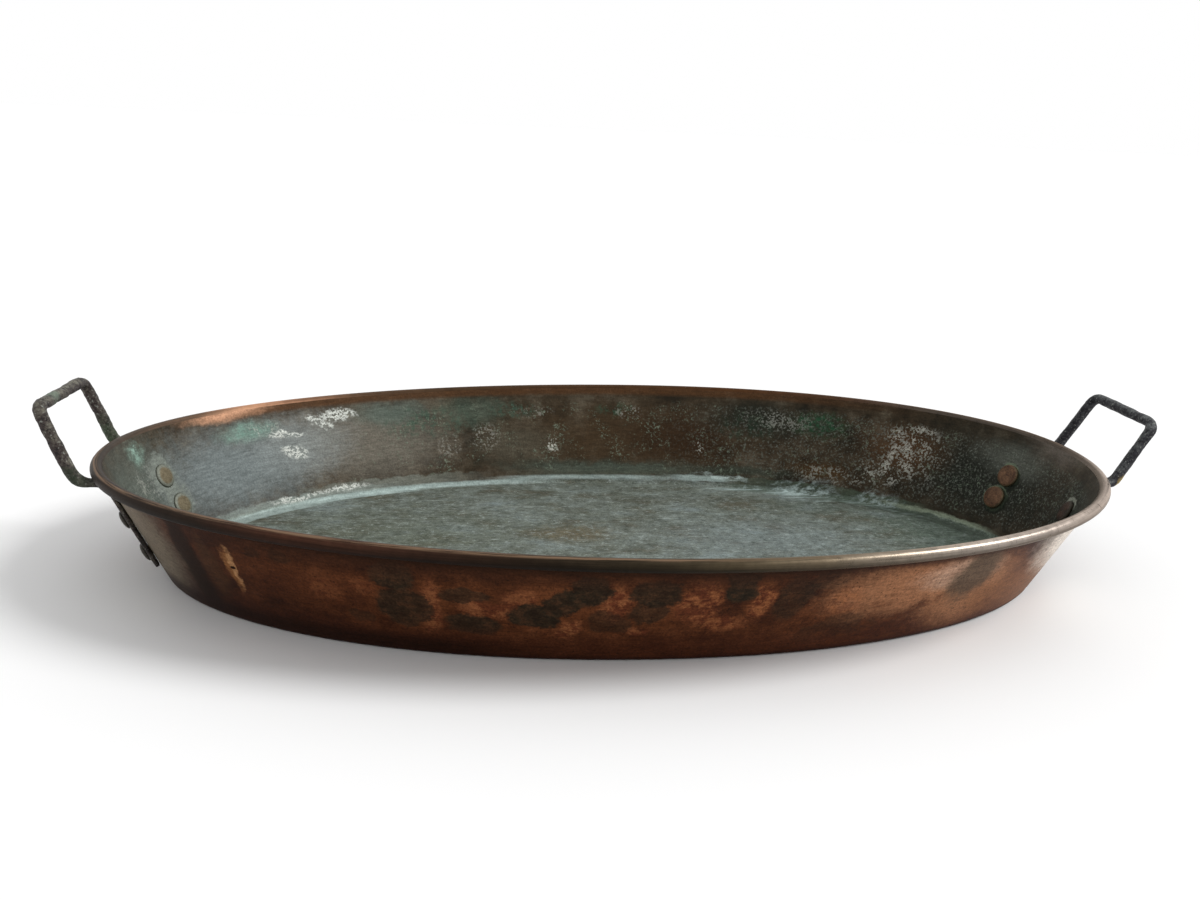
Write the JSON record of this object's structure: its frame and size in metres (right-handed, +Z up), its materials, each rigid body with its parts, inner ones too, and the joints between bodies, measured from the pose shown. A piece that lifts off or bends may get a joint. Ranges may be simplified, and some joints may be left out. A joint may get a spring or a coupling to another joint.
{
  "type": "oval gratin pan",
  "caption": "Shallow oval copper pan with a flared wall, a rim rolled over wire and an upright riveted iron handle at each end.",
  "frame": {"origin": "middle of the flat underside, which stands on z = 0", "axes": "+X along the oval to the right handle, +Y to the back, +Z up out of the pan"},
  "size_m": [0.5919, 0.3302, 0.0938],
  "materials": {
    "copper_body": "aged copper, brown outside with dark blotches, tin-grey and green inside",
    "copper_rivet": "dull brown copper with pale green edges",
    "forged_iron": "dark pitted iron",
    "iron_wire": "dark iron wire"
  },
  "bodies": {
    "root": {"pan_body": "copper_body", "rim_wire": "iron_wire", "handle_left": "forged_iron", "handle_right": "forged_iron", "rivet_left_near_upper": "copper_rivet", "rivet_left_near_lower": "copper_rivet", "rivet_left_far_upper": "copper_rivet", "rivet_left_far_lower": "copper_rivet", "rivet_right_near_upper": "copper_rivet", "rivet_right_near_lower": "copper_rivet", "rivet_right_far_upper": "copper_rivet", "rivet_right_far_lower": "copper_rivet"}
  },
  "joints": []
}
